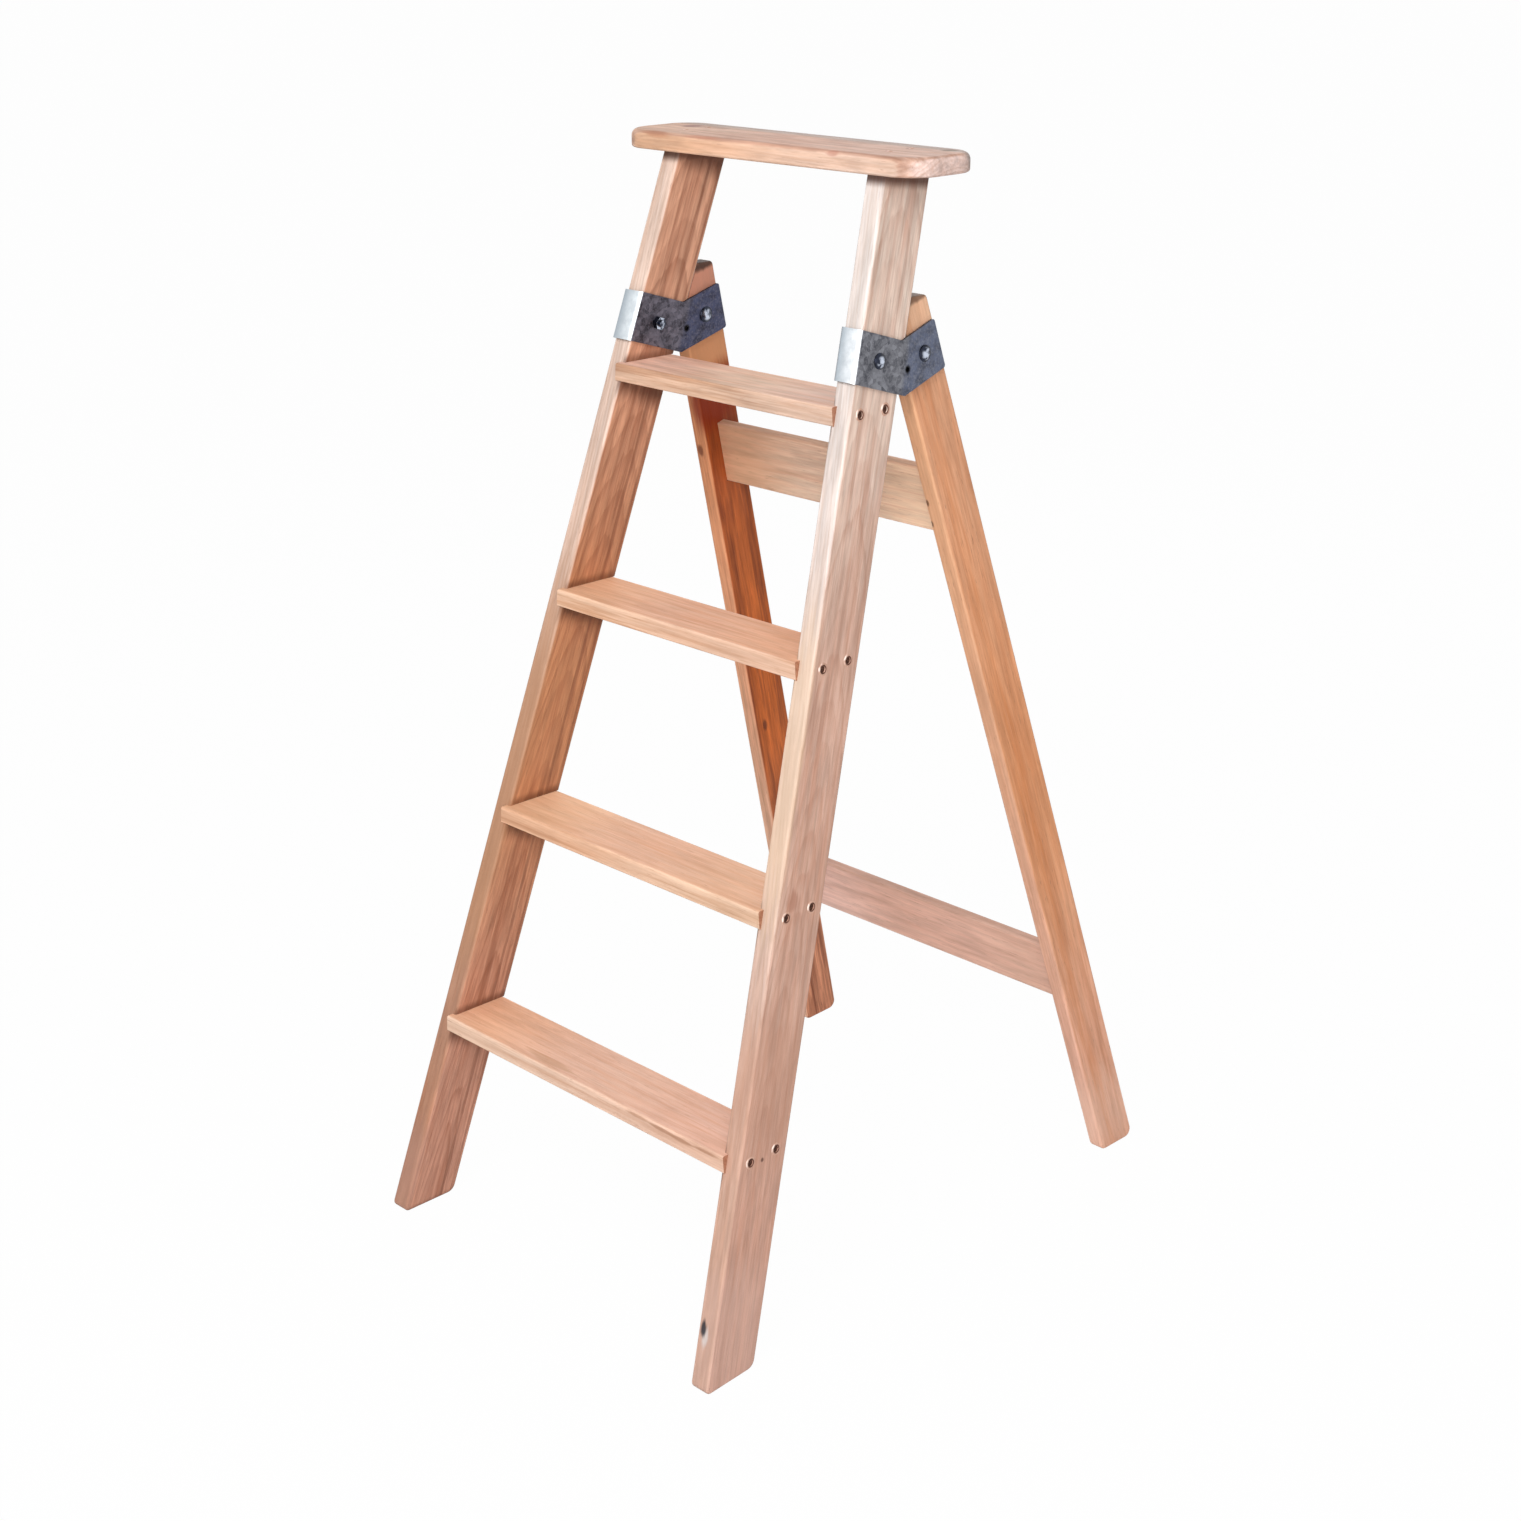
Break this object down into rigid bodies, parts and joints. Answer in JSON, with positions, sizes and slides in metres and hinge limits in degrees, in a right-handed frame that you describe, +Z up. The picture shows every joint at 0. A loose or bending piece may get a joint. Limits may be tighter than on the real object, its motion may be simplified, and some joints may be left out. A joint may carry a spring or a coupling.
{
  "type": "folding wooden stepladder",
  "caption": "Folding wooden stepladder: a leaning front frame with housed treads and a rounded cap, and a rear frame that swings on bent steel hinge brackets.",
  "frame": {"origin": "on the floor, at the middle of the open ladder's footprint box", "axes": "+Z up, -Y the climbing side, +X to the climber's right; the ladder mirrors in the YZ plane; stored open"},
  "size_m": [0.5442, 0.763, 1.2465],
  "materials": {
    "stile_wood": "planed bare softwood, pinkish tan",
    "tread_wood": "planed bare softwood, pale peach",
    "leg_wood": "planed bare softwood, warm orange",
    "rail_wood": "planed bare softwood, tan",
    "galvanised_steel": "galvanised sheet, dull spangle",
    "fastener_steel": "zinc plated",
    "screw_steel": "dark phosphated"
  },
  "bodies": {
    "front_frame": {"stile_left": "stile_wood", "stile_right": "stile_wood", "tread_1": "tread_wood", "tread_2": "tread_wood", "tread_3": "tread_wood", "tread_4": "tread_wood", "top_cap": "tread_wood", "tread_screws_left": "screw_steel", "tread_screws_right": "screw_steel", "cap_screws": "screw_steel", "hinge_bracket_left": "galvanised_steel", "hinge_bracket_right": "galvanised_steel", "bracket_bolt_left": "fastener_steel", "bracket_bolt_right": "fastener_steel", "bracket_nut_left": "fastener_steel", "bracket_nut_right": "fastener_steel", "pivot_rivet_left": "fastener_steel", "pivot_rivet_right": "fastener_steel"},
    "rear_frame": {"rear_leg_left": "leg_wood", "rear_leg_right": "leg_wood", "upper_rail": "rail_wood", "lower_rail": "rail_wood"}
  },
  "joints": [
    {"name": "rear_fold", "type": "hinge", "parent": "front_frame", "child": "rear_frame", "pos_m": [0, 0.04043, 1.04013], "axis": [-1, 0, 0], "range_deg": [0, 33.8]}
  ]
}
